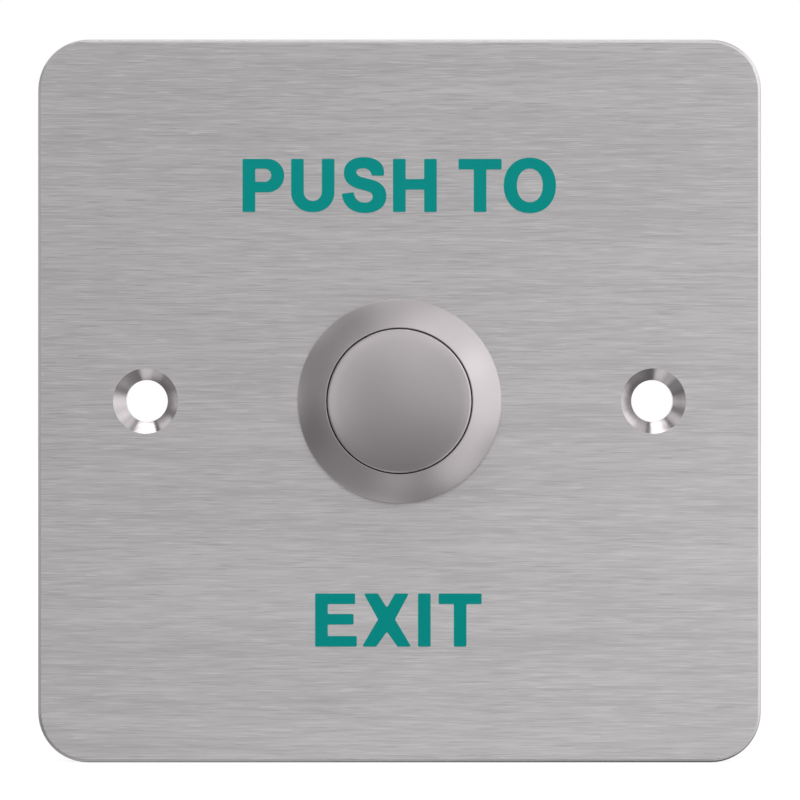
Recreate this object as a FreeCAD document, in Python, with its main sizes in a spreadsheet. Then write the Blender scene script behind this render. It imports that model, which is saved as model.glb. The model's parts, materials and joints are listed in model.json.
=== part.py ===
"""Door exit button: a square wall plate with a sealed push button in its middle.

Frame: the plate stands upright as it is mounted. X runs to the right seen from the front, Z up
and Y into the wall. The origin is the middle of the plate's back face, which lies on the wall.
Lengths are in millimetres.
"""
import FreeCAD, Part
import math
import os
import re
import Sketcher

Vector = FreeCAD.Vector

# Driving sizes. Each is one cell of the sheet.
SIZES = [
    ("plate_width", 86.0),
    ("plate_height", 86.0),
    ("plate_thickness", 2.0),
    ("plate_corner_radius", 6.0),
    ("plate_edge_radius", 0.5),
    ("fixing_pitch", 60.3),
    ("fixing_hole_dia", 5.0),
    ("fixing_sink_dia", 7.75),
    ("fixing_sink_angle", 100.0),
    ("panel_hole_clearance", 0.1),
    ("barrel_dia", 22.0),
    ("barrel_wall", 0.9),
    ("barrel_tail", 0.85),
    ("barrel_collar_length", 1.6),
    ("barrel_chamfer", 0.5),
    ("thread_depth", 0.6),
    ("cover_ledge", 0.4),
    ("lip_ledge", 0.5),
    ("bezel_overhang", 1.1),
    ("bezel_foot", 0.3),
    ("bezel_edge", 0.45),
    ("bezel_proud", 2.2),
    ("bezel_crown_radius", 22.0),
    ("bezel_lip_radius", 0.12),
    ("bezel_lip_depth", 2.8),
    ("gasket_thickness", 0.3),
    ("gasket_clearance", 0.05),
    ("washer_width", 3.2),
    ("washer_thickness", 0.8),
    ("washer_clearance", 0.15),
    ("washer_teeth", 18.0),
    ("washer_slot_width", 1.3),
    ("washer_slot_depth", 1.2),
    ("nut_wall", 2.5),
    ("nut_thickness", 3.0),
    ("nut_bore_clearance", 0.05),
    ("nut_chamfer", 0.6),
    ("nut_chamfer_width", 1.3),
    ("travel", 2.0),
    ("travel_end_gap", 0.1),
    ("cap_gap", 0.15),
    ("cap_proud", 0.3),
    ("cap_dome_height", 0.8),
    ("cap_shoulder_width", 1.3),
    ("cap_shoulder_height", 0.33),
    ("cap_shoulder_radius", 6.0),
    ("cap_edge_radius", 0.25),
    ("cap_stop_gap", 0.1),
    ("cap_ceiling", 1.7),
    ("cap_wall", 1.45),
    ("cap_boss_dia", 5.8),
    ("cap_boss_length", 2.8),
    ("o_ring_section", 1.0),
    ("o_ring_bore_gap", 0.1),
    ("o_ring_groove_gap", 0.05),
    ("o_ring_groove_width", 1.2),
    ("o_ring_setback", 1.0),
    ("plunger_stem_dia", 2.8),
    ("plunger_stem_clearance", 0.05),
    ("plunger_stem_end_gap", 0.3),
    ("plunger_collar_dia", 4.4),
    ("plunger_collar_length", 1.2),
    ("plunger_rod_dia", 3.0),
    ("plunger_guide_clearance", 0.1),
    ("plunger_lever_gap", 0.1),
    ("spring_wire", 0.7),
    ("spring_turns", 5.5),
    ("spring_end_gap", 0.02),
    ("cover_seat", 4.2),
    ("cover_thickness", 1.0),
    ("cover_collar_wall", 1.5),
    ("cover_collar_length", 0.8),
    ("base_clearance", 0.1),
    ("base_body_length", 5.1),
    ("base_wall", 0.8),
    ("base_floor", 3.0),
    ("chamber_depth", 6.8),
    ("barrier_height", 3.3),
    ("barrier_thickness", 1.2),
    ("slot_clearance", 0.1),
    ("ring_thickness", 0.8),
    ("ring_width", 1.0),
    ("ring_turret_gap", 0.3),
    ("ring_groove_depth", 0.35),
    ("ring_clearance", 0.05),
    ("ring_gap", 4.0),
    ("terminal_thickness", 0.6),
    ("terminal_width", 4.4),
    ("terminal_barrier_gap", 0.2),
    ("leg_width", 3.0),
    ("leg_wall_gap", 0.25),
    ("screw_dia", 2.2),
    ("screw_head_dia", 4.0),
    ("screw_head_height", 1.5),
    ("screw_length", 3.5),
    ("screw_clearance", 0.1),
    ("screw_cross_width", 2.4),
    ("screw_slot_width", 0.6),
    ("screw_slot_depth", 0.7),
    ("screw_well_gap", 0.2),
    ("clamp_barrier_gap", 0.2),
    ("clamp_thickness", 0.6),
    ("lever_setback", 1.3),
    ("lever_thickness", 0.3),
    ("lever_width", 3.0),
    ("lever_pivot_inset", 0.05),
    ("lever_bead_dia", 0.6),
    ("lever_pivot_clearance", 0.1),
    ("lever_overhang", 1.5),
    ("contact_inset", 2.35),
    ("contact_arm_width", 2.4),
    ("contact_dia", 2.0),
    ("contact_shank_dia", 1.2),
    ("contact_head", 0.4),
    ("contact_shank_clearance", 0.03),
    ("contact_rest_gap", 0.1),
    ("nc_arm_thickness", 0.5),
    ("no_contact_head", 0.7),
]

FULL_TURN = 360.0
TERMINALS = 3
TERMINAL_STEP = FULL_TURN / TERMINALS
# The contacts lie opposite the common terminal, this far round from the other two.
CONTACT_STEP = FULL_TURN / 2 - TERMINAL_STEP

TINY = 1e-6
NEAR = 1e-4

# Levels along Y, diameters and radii that several pieces share, written with the sheet's names.
LEVELS = {
    "plate_front": "-plate_thickness",
    "bezel_rim": "plate_front - bezel_proud",
    "lip_shoulder": "bezel_rim + bezel_lip_depth",
    "bezel_dia": "barrel_dia + 2 * bezel_overhang",
    "gasket_recess_dia": "bezel_dia - 2 * bezel_foot",
    "thread_dia": "barrel_dia - 2 * thread_depth",
    "base_bore_dia": "thread_dia - 2 * barrel_wall",
    "guide_bore_dia": "base_bore_dia - 2 * cover_ledge",
    "lip_bore_dia": "guide_bore_dia - 2 * lip_ledge",
    "ring_groove_end": "base_step + ring_thickness + ring_clearance",
    "barrel_end": "ring_groove_end + barrel_tail",
    "washer_dia": "barrel_dia + 2 * washer_width",
    "nut_front": "washer_thickness",
    "nut_across_flats": "barrel_dia + 2 * nut_wall",
    "cap_rim": "bezel_rim - cap_proud",
    "cap_top": "cap_rim - cap_dome_height",
    "cap_inside": "cap_top + cap_ceiling",
    "dome_foot": "cap_dia / 2 - cap_shoulder_width",
    "dome_rise": "cap_dome_height - cap_shoulder_height",
    "cap_dia": "lip_bore_dia - 2 * cap_gap",
    "cap_pocket_dia": "cap_dia - 2 * cap_wall",
    "cap_flange_dia": "guide_bore_dia - 2 * cap_gap",
    "cap_flange_front": "lip_shoulder + cap_stop_gap",
    "cap_rear": "cover_seat - travel - travel_end_gap",
    "boss_end": "cap_inside + cap_boss_length",
    "o_ring_level": "cap_flange_front + o_ring_setback",
    "plunger_shoulder": "boss_end + plunger_collar_length",
    "spring_mean_dia": "(cap_pocket_dia + cap_boss_dia) / 2",
    "cover_rear": "cover_seat + cover_thickness",
    "base_dia": "base_bore_dia - 2 * base_clearance",
    "base_step": "cover_rear + base_body_length",
    "ring_inner_dia": "base_bore_dia - 2 * ring_width",
    "base_turret_dia": "ring_inner_dia - 2 * ring_turret_gap",
    "chamber_dia": "base_turret_dia - 2 * base_wall",
    "chamber_floor": "cover_rear + chamber_depth",
    "terminal_seat": "chamber_floor + base_floor",
    "terminal_top": "terminal_seat + terminal_thickness",
    "clamp_top": "terminal_top + clamp_thickness",
    "leg_radius": "chamber_dia / 2 - leg_wall_gap",
    "leg_inner": "leg_radius - terminal_thickness",
    "screw_radius": "(terminal_inner + leg_inner) / 2",
    "lever_front": "cover_rear + lever_setback",
    "lever_rear": "lever_front + lever_thickness",
    "lever_middle": "lever_front + lever_thickness / 2",
    "lever_pivot_radius": "leg_inner - lever_pivot_inset",
    "contact_radius": "leg_radius - contact_inset",
    "lever_end_radius": "contact_radius + lever_overhang",
    "nc_contact_face": "lever_front - contact_head - contact_rest_gap",
}
# What lies on the base's rear keeps clear of the barriers, which stand half a step to each side.
BARRIER_SIDE = "sin(%g deg)" % (TERMINAL_STEP / 2)
BARRIER_ALONG = "cos(%g deg)" % (TERMINAL_STEP / 2)
LEVELS["terminal_inner"] = (
    "(terminal_width / 2 * %s + barrier_thickness / 2 + terminal_barrier_gap) / %s"
    % (BARRIER_ALONG, BARRIER_SIDE))
LEVELS["clamp_half"] = (
    "(screw_radius * %s - barrier_thickness / 2 - clamp_barrier_gap) / (%s + %s)"
    % (BARRIER_SIDE, BARRIER_SIDE, BARRIER_ALONG))

doc = FreeCAD.newDocument("door_exit_button")
sheet = doc.addObject("Spreadsheet::Sheet", "sizes")
for row, (alias, number) in enumerate(SIZES, start=1):
    sheet.set("A%d" % row, alias)
    sheet.set("B%d" % row, str(number))
    sheet.setAlias("B%d" % row, alias)
doc.recompute()

WORD = re.compile(r"[a-z][a-z_0-9]*")
ALIASES = {alias for alias, _ in SIZES}


def bound(text):
    """Expression on the sheet for a size written with its names and the shared levels."""
    def swap(match):
        word = match.group(0)
        if word in LEVELS:
            return "(" + bound(LEVELS[word]) + ")"
        return "sizes." + word if word in ALIASES else word
    return WORD.sub(swap, text)


def value(text):
    """Number that a size has now."""
    return float(sheet.evalExpression(bound(text)))


def new_body(label):
    body = doc.addObject("PartDesign::Body", label)
    body.Label = label
    return body


def new_sketch(body, plane, name, level=None):
    """Sketch on one of the body's own planes, moved along the plane's normal to a level."""
    sketch = body.newObject("Sketcher::SketchObject", name)
    origin_plane = [f for f in body.Origin.OriginFeatures if f.Role == plane][0]
    sketch.AttachmentSupport = [(origin_plane, "")]
    sketch.MapMode = "FlatFace"
    if level is not None:
        sketch.setExpression("AttachmentOffset.Base.z", bound(level))
    return sketch


def hold(sketch, kind, target, text, start=(-1, 1)):
    """Tie one dimension of a sketch point to the sheet."""
    held = Sketcher.Constraint(kind, *start, *target, value(text))
    index = sketch.addConstraint(held)
    sketch.setExpression("Constraints[%d]" % index, bound(text))


def bulge_point(a, b, radius):
    """Middle of the short arc from a to b. A positive radius bulges to the right of the way."""
    chord = b - a
    half = chord.Length / 2
    rise = abs(radius) - math.sqrt(max(radius * radius - half * half, 0.0))
    side = Vector(chord.y, -chord.x, 0).normalize()
    return (a + b) * 0.5 + side * math.copysign(rise, radius)


def draw_outline(sketch, corners):
    """Closed outline. A corner is (x, y), or (x, y, radius) where an arc leaves it."""
    spots = [Vector(value(x), value(y), 0) for x, y, *_ in corners]
    ends = []
    for i, (_, _, *arc) in enumerate(corners):
        a = spots[i]
        b = spots[(i + 1) % len(spots)]
        if arc:
            edge = Part.Arc(a, bulge_point(a, b, value(arc[0])), b)
        else:
            edge = Part.LineSegment(a, b)
        index = sketch.addGeometry(edge, False)
        first = 1 if sketch.getPoint(index, 1).distanceToPoint(a) < TINY else 2
        ends.append((index, first, 3 - first))
    for i, (x, y, *arc) in enumerate(corners):
        index, first, last = ends[i]
        following = ends[(i + 1) % len(ends)]
        sketch.addConstraint(Sketcher.Constraint("Coincident", index, last, following[0], following[1]))
        hold(sketch, "DistanceX", (index, first), x)
        hold(sketch, "DistanceY", (index, first), y)
        if arc:
            radius = Sketcher.Constraint("Radius", index, abs(value(arc[0])))
            held = sketch.addConstraint(radius)
            sketch.setExpression("Constraints[%d]" % held, "abs(" + bound(arc[0]) + ")")


def draw_rectangle(sketch, left, bottom, right, top):
    draw_outline(sketch, [(left, bottom), (right, bottom), (right, top), (left, top)])


def draw_circle(sketch, x, y, diameter):
    circle = Part.Circle(Vector(value(x), value(y), 0), Vector(0, 0, 1), value(diameter) / 2)
    index = sketch.addGeometry(circle, False)
    hold(sketch, "DistanceX", (index, 3), x)
    hold(sketch, "DistanceY", (index, 3), y)
    held = sketch.addConstraint(Sketcher.Constraint("Diameter", index, value(diameter)))
    sketch.setExpression("Constraints[%d]" % held, bound(diameter))


def turn(body, corners, name="turned", cut=False):
    """Revolve an outline, given as radius and level along Y, about the Y axis."""
    sketch = new_sketch(body, "XY_Plane", name + "_profile")
    draw_outline(sketch, corners)
    kind = "PartDesign::Groove" if cut else "PartDesign::Revolution"
    feature = body.newObject(kind, name)
    feature.Profile = sketch
    feature.ReferenceAxis = (sketch, ["V_Axis"])
    feature.Angle = FULL_TURN
    doc.recompute()
    return feature


def pad(body, sketch, length, name, rearward=True):
    """Raise a sketch on the upright plane, whose normal is the front, rearward or forward."""
    feature = body.newObject("PartDesign::Pad", name)
    feature.Profile = sketch
    feature.setExpression("Length", bound(length))
    feature.Reversed = rearward
    doc.recompute()
    return feature


def pocket(body, sketch, length, name, rearward=True):
    """Cut a sketch on the upright plane rearward or forward, and see that it takes some away."""
    before = body.Shape.Volume
    feature = body.newObject("PartDesign::Pocket", name)
    feature.Profile = sketch
    feature.setExpression("Length", bound(length))
    feature.Reversed = not rearward
    doc.recompute()
    if body.Shape.Volume > before - TINY:
        raise RuntimeError(name + " takes nothing away")
    return feature


def polar(body, features, count, name):
    """Repeat features evenly round the Y axis."""
    pattern = body.newObject("PartDesign::PolarPattern", name)
    pattern.Originals = features
    pattern.Axis = ([f for f in body.Origin.OriginFeatures if f.Role == "Y_Axis"][0], [""])
    pattern.Angle = FULL_TURN
    if isinstance(count, str):
        pattern.setExpression("Occurrences", bound(count))
    else:
        pattern.Occurrences = count
    body.Tip = pattern
    doc.recompute()
    return pattern


def fillet(body, feature, picked, radius, name):
    """Round the edges of a feature that the test picks."""
    edges = ["Edge%d" % (i + 1) for i, edge in enumerate(feature.Shape.Edges) if picked(edge)]
    if not edges:
        raise RuntimeError(name + " finds no edge")
    rounding = body.newObject("PartDesign::Fillet", name)
    rounding.Base = (feature, edges)
    rounding.setExpression("Radius", bound(radius))
    doc.recompute()
    return rounding


def on_circle(edge, radius, level):
    """True for a full circle about the Y axis with this radius at this level."""
    box = edge.BoundBox
    round_one = abs(box.XMax - value(radius)) < NEAR and abs(box.XMin + value(radius)) < NEAR
    return round_one and box.YLength < NEAR and abs(box.YMin - value(level)) < NEAR


def make_face_plate():
    body = new_body("face_plate")
    sketch = new_sketch(body, "XZ_Plane", "plate_outline")
    draw_rectangle(sketch, "-plate_width / 2", "-plate_height / 2", "plate_width / 2", "plate_height / 2")
    slab = pad(body, sketch, "plate_thickness", "slab", rearward=False)
    corners = fillet(
        body, slab, lambda e: e.BoundBox.YLength > value("plate_thickness") / 2,
        "plate_corner_radius", "corners")
    front = value("plate_front")
    edge = fillet(
        body, corners, lambda e: abs(e.BoundBox.YMax - front) < NEAR, "plate_edge_radius", "front_edge")
    sketch = new_sketch(body, "XZ_Plane", "panel_hole_outline")
    draw_circle(sketch, "0", "0", "barrel_dia + 2 * panel_hole_clearance")
    before = edge.Shape.Volume
    pocket(body, sketch, "plate_thickness", "panel_hole", rearward=False)
    sketch = new_sketch(body, "XZ_Plane", "fixing_centres", "plate_thickness")
    draw_circle(sketch, "-fixing_pitch / 2", "0", "fixing_hole_dia")
    draw_circle(sketch, "fixing_pitch / 2", "0", "fixing_hole_dia")
    doc.recompute()
    holes = body.newObject("PartDesign::Hole", "fixing_holes")
    holes.Profile = sketch
    holes.Threaded = False
    holes.DepthType = "ThroughAll"
    holes.HoleCutType = "Countersink"
    holes.HoleCutCustomValues = True
    holes.setExpression("Diameter", bound("fixing_hole_dia"))
    holes.setExpression("HoleCutDiameter", bound("fixing_sink_dia"))
    holes.setExpression("HoleCutCountersinkAngle", bound("fixing_sink_angle"))
    doc.recompute()
    if body.Shape.Volume > before - TINY:
        raise RuntimeError("fixing_holes take nothing away")


def make_bezel_housing():
    body = new_body("bezel_housing")
    gasket_outer = "gasket_recess_dia / 2"
    thread = "thread_dia / 2"
    ring_radius = "base_bore_dia / 2 + ring_groove_depth"
    turned = turn(body, [
        ("bezel_dia / 2", "plate_front"),
        ("bezel_dia / 2", "plate_front - bezel_edge", "-bezel_crown_radius"),
        ("lip_bore_dia / 2", "bezel_rim"),
        ("lip_bore_dia / 2", "lip_shoulder"),
        ("guide_bore_dia / 2", "lip_shoulder"),
        ("guide_bore_dia / 2", "cover_seat"),
        ("base_bore_dia / 2", "cover_seat"),
        ("base_bore_dia / 2", "base_step"),
        (ring_radius, "base_step"),
        (ring_radius, "ring_groove_end"),
        ("base_bore_dia / 2", "ring_groove_end"),
        ("base_bore_dia / 2", "barrel_end"),
        (thread + " - barrel_chamfer", "barrel_end"),
        (thread, "barrel_end - barrel_chamfer"),
        (thread, "plate_front + barrel_collar_length + thread_depth"),
        ("barrel_dia / 2", "plate_front + barrel_collar_length"),
        ("barrel_dia / 2", "plate_front - gasket_thickness"),
        (gasket_outer, "plate_front - gasket_thickness"),
        (gasket_outer, "plate_front"),
    ])
    fillet(body, turned, lambda e: on_circle(e, "lip_bore_dia / 2", "bezel_rim"), "bezel_lip_radius", "rim")


def make_bezel_gasket():
    inner = "barrel_dia / 2 + gasket_clearance"
    outer = "gasket_recess_dia / 2 - gasket_clearance"
    turn(new_body("bezel_gasket"), [
        (inner, "plate_front - gasket_thickness"),
        (outer, "plate_front - gasket_thickness"),
        (outer, "plate_front"),
        (inner, "plate_front"),
    ])


def make_lock_washer():
    body = new_body("lock_washer")
    inner = "barrel_dia / 2 + washer_clearance"
    turn(body, [
        (inner, "0"),
        ("washer_dia / 2", "0"),
        ("washer_dia / 2", "washer_thickness"),
        (inner, "washer_thickness"),
    ])
    sketch = new_sketch(body, "XZ_Plane", "tooth_slot")
    draw_rectangle(
        sketch, "-washer_slot_width / 2", "barrel_dia / 2 - washer_clearance",
        "washer_slot_width / 2", inner + " + washer_slot_depth")
    slot = pocket(body, sketch, "washer_thickness", "slot")
    polar(body, [slot], "washer_teeth", "slots")


def make_mounting_nut():
    body = new_body("mounting_nut")
    sketch = new_sketch(body, "XZ_Plane", "hexagon", "-nut_front")
    flat = "nut_across_flats / 2"
    tip = "nut_across_flats / sqrt(3)"
    half_side = "nut_across_flats / (2 * sqrt(3))"
    draw_outline(sketch, [
        (flat, "-" + half_side),
        (flat, half_side),
        ("0", tip),
        ("-" + flat, half_side),
        ("-" + flat, "-" + half_side),
        ("0", "-" + tip),
    ])
    pad(body, sketch, "nut_thickness", "prism")
    bore = new_sketch(body, "XZ_Plane", "bore_outline", "-nut_front")
    draw_circle(bore, "0", "0", "thread_dia + 2 * nut_bore_clearance")
    pocket(body, bore, "nut_thickness", "bore")
    rear = "nut_front + nut_thickness"
    cone_root = tip + " - nut_chamfer_width"
    turn(body, [
        (cone_root, rear),
        (tip + " + nut_chamfer_width", rear),
        (tip + " + nut_chamfer_width", rear + " - 2 * nut_chamfer"),
    ], "rear_chamfer", cut=True)
    turn(body, [
        (cone_root, "nut_front"),
        (tip + " + nut_chamfer_width", "nut_front + 2 * nut_chamfer"),
        (tip + " + nut_chamfer_width", "nut_front"),
    ], "front_chamfer", cut=True)


def make_button_cap():
    body = new_body("button_cap")
    dome_radius = "-(dome_foot^2 + dome_rise^2) / (2 * dome_rise)"
    pocket_radius = "cap_pocket_dia / 2"
    groove_radius = "guide_bore_dia / 2 - o_ring_bore_gap - o_ring_section - o_ring_groove_gap"
    boss_bore = "plunger_stem_dia / 2 + plunger_stem_clearance"
    turned = turn(body, [
        ("cap_dia / 2", "cap_rim", "-cap_shoulder_radius"),
        ("dome_foot", "cap_rim - cap_shoulder_height", dome_radius),
        ("0", "cap_top"),
        ("0", "cap_inside"),
        (boss_bore, "cap_inside"),
        (boss_bore, "boss_end"),
        ("cap_boss_dia / 2", "boss_end"),
        ("cap_boss_dia / 2", "cap_inside"),
        (pocket_radius, "cap_inside"),
        (pocket_radius, "cap_rear"),
        ("cap_flange_dia / 2", "cap_rear"),
        ("cap_flange_dia / 2", "o_ring_level + o_ring_groove_width / 2"),
        (groove_radius, "o_ring_level + o_ring_groove_width / 2"),
        (groove_radius, "o_ring_level - o_ring_groove_width / 2"),
        ("cap_flange_dia / 2", "o_ring_level - o_ring_groove_width / 2"),
        ("cap_flange_dia / 2", "cap_flange_front"),
        ("cap_dia / 2", "cap_flange_front"),
    ])
    fillet(body, turned, lambda e: on_circle(e, "cap_dia / 2", "cap_rim"), "cap_edge_radius", "rim")


def make_cap_o_ring():
    ring = doc.addObject("Part::Torus", "cap_o_ring")
    ring.Label = "cap_o_ring"
    ring.setExpression("Radius1", bound("guide_bore_dia / 2 - o_ring_bore_gap - o_ring_section / 2"))
    ring.setExpression("Radius2", bound("o_ring_section / 2"))
    ring.Placement = FreeCAD.Placement(Vector(), FreeCAD.Rotation(Vector(1, 0, 0), -90))
    ring.setExpression("Placement.Base.y", bound("o_ring_level"))


def make_plunger():
    stem = "plunger_stem_dia / 2"
    rod = "plunger_rod_dia / 2"
    tip = "lever_front - plunger_lever_gap"
    turn(new_body("plunger"), [
        ("0", "cap_inside + plunger_stem_end_gap"),
        (stem, "cap_inside + plunger_stem_end_gap"),
        (stem, "boss_end"),
        ("plunger_collar_dia / 2", "boss_end"),
        ("plunger_collar_dia / 2", "plunger_shoulder"),
        (rod, "plunger_shoulder"),
        (rod, tip + " - plunger_rod_dia / 2", rod),
        ("0", tip),
    ])


def make_return_spring():
    body = new_body("return_spring")
    first = "cap_inside + spring_wire / 2 + spring_end_gap"
    last = "cover_seat - spring_wire / 2 - spring_end_gap"
    sketch = new_sketch(body, "XY_Plane", "wire_section")
    draw_circle(sketch, "spring_mean_dia / 2", first, "spring_wire")
    doc.recompute()
    coil = body.newObject("PartDesign::AdditiveHelix", "coil")
    coil.Profile = sketch
    coil.ReferenceAxis = (sketch, ["V_Axis"])
    coil.Mode = "height-turns-angle"
    coil.setExpression("Height", bound("(%s) - (%s)" % (last, first)))
    coil.setExpression("Turns", bound("spring_turns"))
    doc.recompute()


def make_contact_cover():
    radius = "base_bore_dia / 2 - base_clearance"
    hole = "plunger_rod_dia / 2 + plunger_guide_clearance"
    collar = "plunger_rod_dia / 2 + cover_collar_wall"
    turn(new_body("contact_cover"), [
        (hole, "cover_seat - cover_collar_length"),
        (collar, "cover_seat - cover_collar_length"),
        (collar, "cover_seat"),
        (radius, "cover_seat"),
        (radius, "cover_rear"),
        (hole, "cover_rear"),
    ])


def make_switch_base():
    body = new_body("switch_base")
    turn(body, [
        ("chamber_dia / 2", "cover_rear"),
        ("base_dia / 2", "cover_rear"),
        ("base_dia / 2", "base_step"),
        ("base_turret_dia / 2", "base_step"),
        ("base_turret_dia / 2", "terminal_seat"),
        ("0", "terminal_seat"),
        ("0", "chamber_floor"),
        ("chamber_dia / 2", "chamber_floor"),
    ])
    sketch = new_sketch(body, "XZ_Plane", "barrier_outline", "-(terminal_seat)")
    reach = "-sqrt((base_turret_dia / 2)^2 - (barrier_thickness / 2)^2)"
    draw_rectangle(sketch, "-barrier_thickness / 2", reach, "barrier_thickness / 2", "0")
    barrier = pad(body, sketch, "barrier_height", "barrier")
    polar(body, [barrier], TERMINALS, "barriers")
    sketch = new_sketch(body, "XZ_Plane", "leg_slot_outline", "-(terminal_seat)")
    draw_rectangle(
        sketch, "-leg_width / 2 - slot_clearance", "leg_inner - slot_clearance",
        "leg_width / 2 + slot_clearance", "leg_radius + slot_clearance")
    slot = pocket(body, sketch, "base_floor", "leg_slot", rearward=False)
    polar(body, [slot], TERMINALS, "leg_slots")
    sketch = new_sketch(body, "XZ_Plane", "screw_well_outline", "-(terminal_seat)")
    draw_circle(sketch, "0", "screw_radius", "screw_dia + 2 * screw_clearance")
    depth = "screw_length - clamp_thickness - terminal_thickness + screw_well_gap"
    well = pocket(body, sketch, depth, "screw_well", rearward=False)
    polar(body, [well], TERMINALS, "screw_wells")


def make_base_retaining_ring():
    body = new_body("base_retaining_ring")
    outer = "base_bore_dia / 2 + ring_groove_depth - ring_clearance"
    inner = "ring_inner_dia / 2"
    rear = "base_step + ring_thickness"
    turn(body, [(inner, "base_step"), (outer, "base_step"), (outer, rear), (inner, rear)])
    sketch = new_sketch(body, "XZ_Plane", "split_outline", "-(base_step)")
    draw_rectangle(sketch, "-ring_gap / 2", "-base_bore_dia", "ring_gap / 2", "0")
    pocket(body, sketch, "ring_thickness", "split")


def make_terminal(label, angle, leg_front):
    """Bent brass strip: a plate on the base's rear and a leg through its floor to leg_front."""
    body = new_body(label)
    sketch = new_sketch(body, "XZ_Plane", "plate_outline", "-(terminal_seat)")
    draw_rectangle(sketch, "-terminal_width / 2", "terminal_inner", "terminal_width / 2", "leg_radius")
    pad(body, sketch, "terminal_thickness", "plate")
    sketch = new_sketch(body, "XZ_Plane", "leg_outline", "-(terminal_seat)")
    draw_rectangle(sketch, "-leg_width / 2", "leg_inner", "leg_width / 2", "leg_radius")
    pad(body, sketch, "(terminal_seat) - (%s)" % leg_front, "leg", rearward=False)
    sketch = new_sketch(body, "XZ_Plane", "screw_hole_outline", "-(terminal_seat)")
    draw_circle(sketch, "0", "screw_radius", "screw_dia + 2 * screw_clearance")
    pocket(body, sketch, "terminal_thickness", "screw_hole")
    body.Placement = FreeCAD.Placement(Vector(), FreeCAD.Rotation(Vector(0, 1, 0), angle))
    return body


def add_contact_arm(body, front, thickness, side):
    """Flat arm from a terminal's leg to the contact place, in the terminal's own directions."""
    along = "contact_radius * sin(%g deg)" % (side * CONTACT_STEP)
    across = "contact_radius * cos(%g deg)" % CONTACT_STEP
    sketch = new_sketch(body, "XZ_Plane", "arm_outline", "-(%s)" % front)
    run = "sqrt((%s)^2 + (leg_inner - %s)^2)" % (along, across)
    half = "contact_arm_width / 2"
    step_x = "%s * (leg_inner - %s) / %s" % (half, across, run)
    step_z = "%s * (%s) / %s" % (half, along, run)
    corners = [
        ("%s + %s" % (along, step_x), "%s + %s" % (across, step_z)),
        (step_x, "leg_radius"),
        ("-(%s)" % step_x, "leg_radius"),
        ("%s - %s" % (along, step_x), "%s - %s" % (across, step_z), half),
        ("%s + %s" % (along, step_z), "%s - %s" % (across, step_x), half),
    ]
    draw_outline(sketch, corners)
    pad(body, sketch, thickness, "arm")
    sketch = new_sketch(body, "XZ_Plane", "rivet_hole_outline", "-(%s)" % front)
    draw_circle(sketch, along, across, "contact_shank_dia + 2 * contact_shank_clearance")
    pocket(body, sketch, thickness, "rivet_hole")


def make_terminal_com():
    """The common terminal ends in a hollow across its leg, in which the lever turns."""
    body = make_terminal("terminal_com", 0.0, "lever_front - terminal_thickness / 2")
    sketch = new_sketch(body, "YZ_Plane", "pivot_hollow_outline")
    draw_circle(sketch, "lever_middle", "lever_pivot_radius", "lever_bead_dia + 2 * lever_pivot_clearance")
    before = body.Shape.Volume
    hollow = body.newObject("PartDesign::Pocket", "pivot_hollow")
    hollow.Profile = sketch
    hollow.Midplane = True
    hollow.setExpression("Length", bound("2 * leg_width"))
    doc.recompute()
    if body.Shape.Volume > before - TINY:
        raise RuntimeError("pivot_hollow takes nothing away")


def make_terminal_no():
    front = "chamber_floor - terminal_thickness"
    body = make_terminal("terminal_no", TERMINAL_STEP, front)
    add_contact_arm(body, front, "terminal_thickness", 1)


def make_terminal_nc():
    front = "nc_contact_face - contact_rest_gap - nc_arm_thickness"
    body = make_terminal("terminal_nc", -TERMINAL_STEP, front)
    add_contact_arm(body, front, "nc_arm_thickness", -1)


def make_rivet(label, corners):
    """Contact rivet on the line where the lever meets the fixed contacts."""
    body = new_body(label)
    turn(body, corners)
    body.setExpression("Placement.Base.z", bound("-contact_radius"))


def make_fixed_contact_no():
    arm_front = "chamber_floor - terminal_thickness"
    head = "contact_dia / 2"
    shank = "contact_shank_dia / 2"
    make_rivet("fixed_contact_no", [
        ("0", "%s - no_contact_head" % arm_front),
        (head, "%s - no_contact_head" % arm_front),
        (head, arm_front),
        (shank, arm_front),
        (shank, "chamber_floor"),
        ("0", "chamber_floor"),
    ])


def make_fixed_contact_nc():
    arm_rear = "nc_contact_face - contact_rest_gap"
    head = "contact_dia / 2"
    shank = "contact_shank_dia / 2"
    make_rivet("fixed_contact_nc", [
        ("0", "%s - nc_arm_thickness" % arm_rear),
        (shank, "%s - nc_arm_thickness" % arm_rear),
        (shank, arm_rear),
        (head, arm_rear),
        (head, "nc_contact_face"),
        ("0", "nc_contact_face"),
    ])


def make_moving_contact():
    """Spring leaf with a rolled bead at its top, which is its pivot."""
    body = new_body("moving_contact")
    sketch = new_sketch(body, "XZ_Plane", "leaf_outline", "-(lever_front)")
    draw_rectangle(
        sketch, "-lever_width / 2", "-lever_end_radius", "lever_width / 2", "lever_pivot_radius")
    pad(body, sketch, "lever_thickness", "leaf")
    sketch = new_sketch(body, "YZ_Plane", "bead_outline")
    draw_circle(sketch, "lever_middle", "lever_pivot_radius", "lever_bead_dia")
    bead = body.newObject("PartDesign::Pad", "bead")
    bead.Profile = sketch
    bead.Midplane = True
    bead.setExpression("Length", bound("lever_width"))
    doc.recompute()
    sketch = new_sketch(body, "XZ_Plane", "rivet_hole_outline", "-(lever_front)")
    draw_circle(sketch, "0", "-contact_radius", "contact_shank_dia + 2 * contact_shank_clearance")
    pocket(body, sketch, "lever_thickness", "rivet_hole")


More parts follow.
